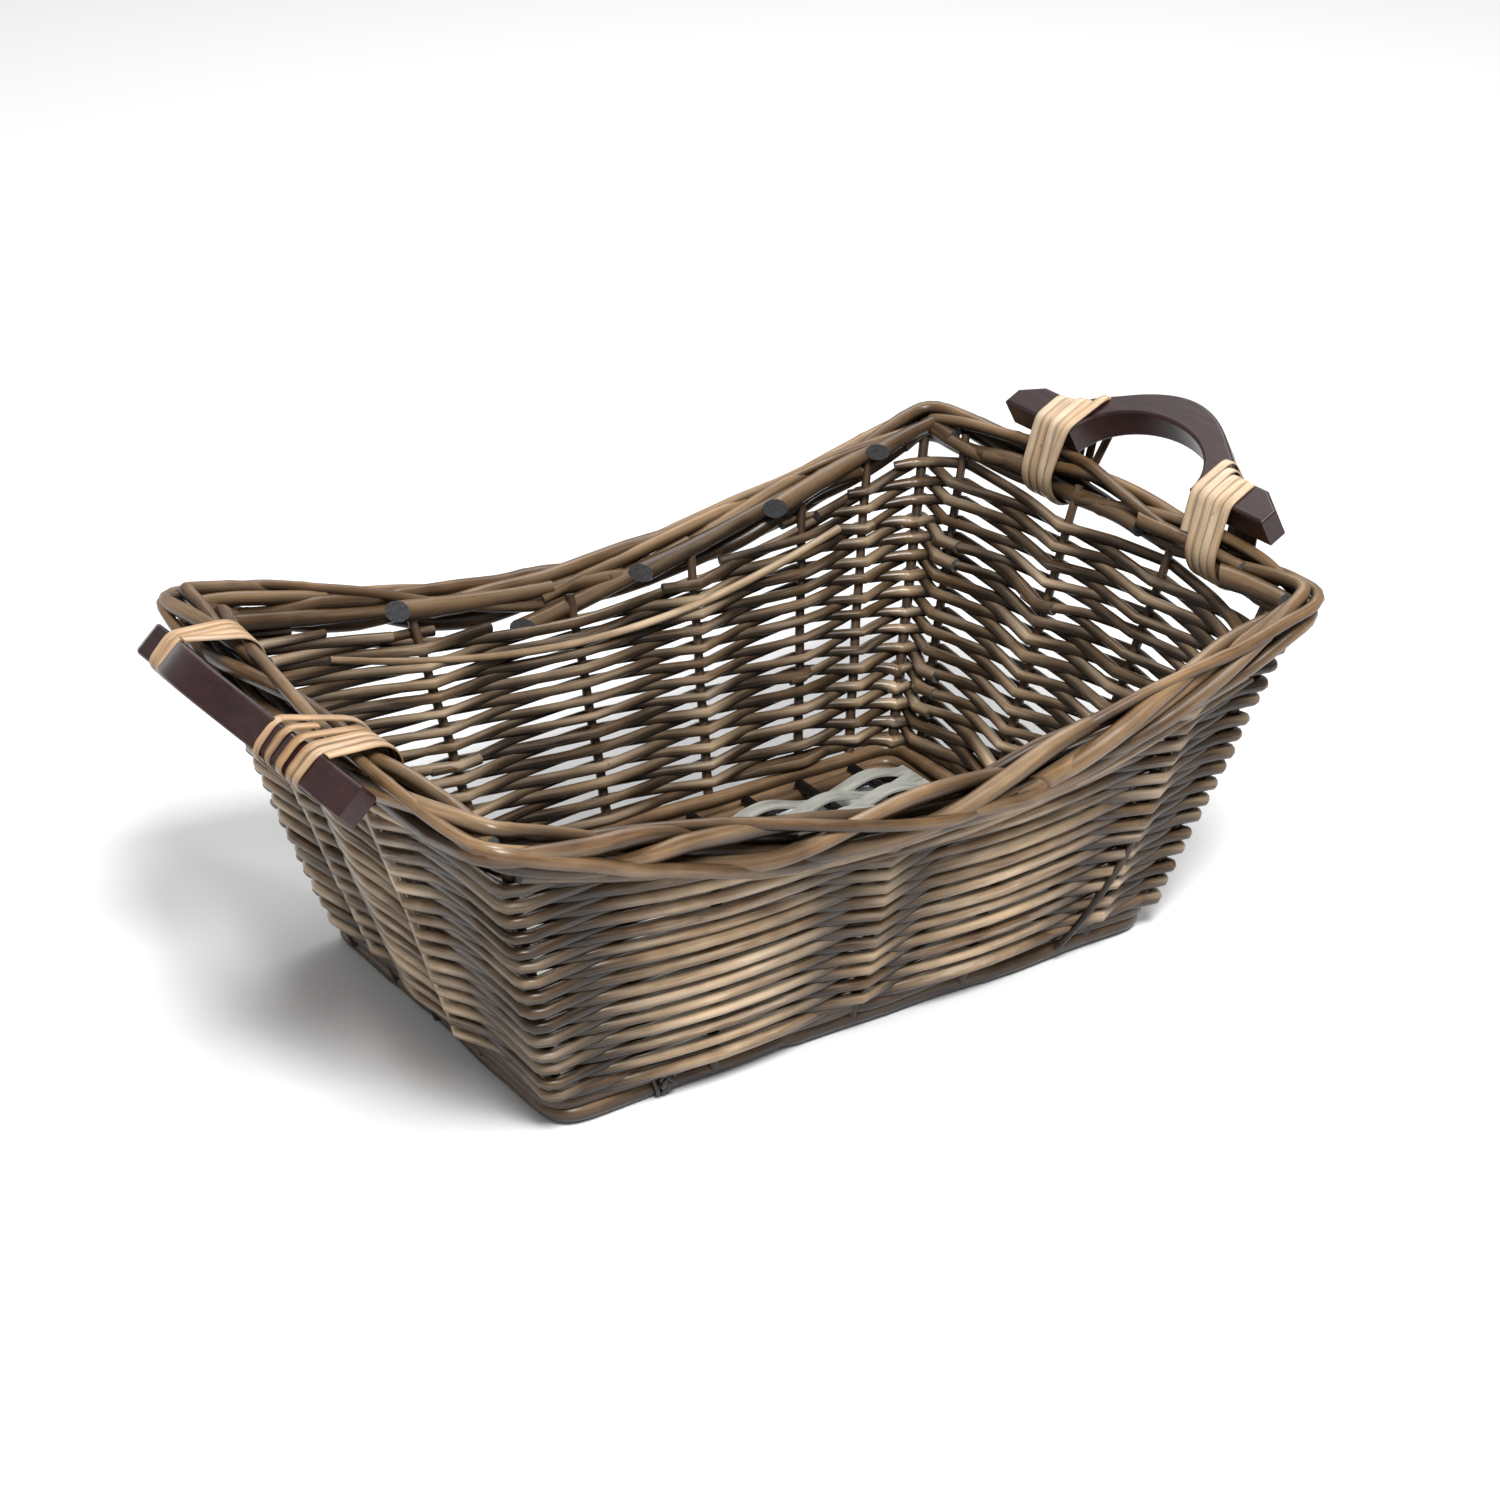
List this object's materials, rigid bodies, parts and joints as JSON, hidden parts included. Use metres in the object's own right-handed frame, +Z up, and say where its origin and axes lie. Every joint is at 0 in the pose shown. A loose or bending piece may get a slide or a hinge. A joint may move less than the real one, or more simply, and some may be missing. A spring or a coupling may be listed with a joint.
{
  "type": "wicker log basket",
  "caption": "Open rectangular wicker log basket with flared sides, long rims scooped low in the middle, a woven strip floor and a lashed-on dark wooden handle over each end.",
  "frame": {"origin": "centre in plan of the whole basket with its handles, at the floor plane it stands on; the left handle reaches further out than the right one, so the middle of the woven base lies 5.4 mm towards +X", "axes": "+X along the long sides towards one handle, +Y across the short way, +Z up; the handles sit over the +X and -X ends"},
  "size_m": [0.5564, 0.328, 0.2256],
  "materials": {
    "willow_weave": "grey-brown antique willow, satin",
    "willow_border": "grey-brown antique willow, thicker rods, satin",
    "willow_stake": "dark brown willow",
    "floor_strip": "pale grey washed split wood, matte",
    "handle_wood": "dark red-brown stained wood, satin",
    "cane": "pale tan flat cane, satin",
    "tie_wire": "dark twisted binding wire with a dull coat"
  },
  "bodies": {
    "root": {"base_sticks": "willow_stake", "border_back": "willow_border", "border_front": "willow_border", "border_left": "willow_border", "border_right": "willow_border", "floor_strips": "floor_strip", "foot_back": "willow_border", "foot_front": "willow_border", "foot_left": "willow_border", "foot_right": "willow_border", "foot_tie": "tie_wire", "handle_left": "handle_wood", "handle_right": "handle_wood", "lashing_left_back": "cane", "lashing_left_front": "cane", "lashing_right_back": "cane", "lashing_right_front": "cane", "post_back_left": "willow_stake", "post_back_right": "willow_stake", "post_front_left": "willow_stake", "post_front_right": "willow_stake", "stakes_back": "willow_stake", "stakes_front": "willow_stake", "stakes_left": "willow_stake", "stakes_right": "willow_stake", "weave_back": "willow_weave", "weave_front": "willow_weave", "weave_left": "willow_weave", "weave_right": "willow_weave"}
  },
  "joints": []
}
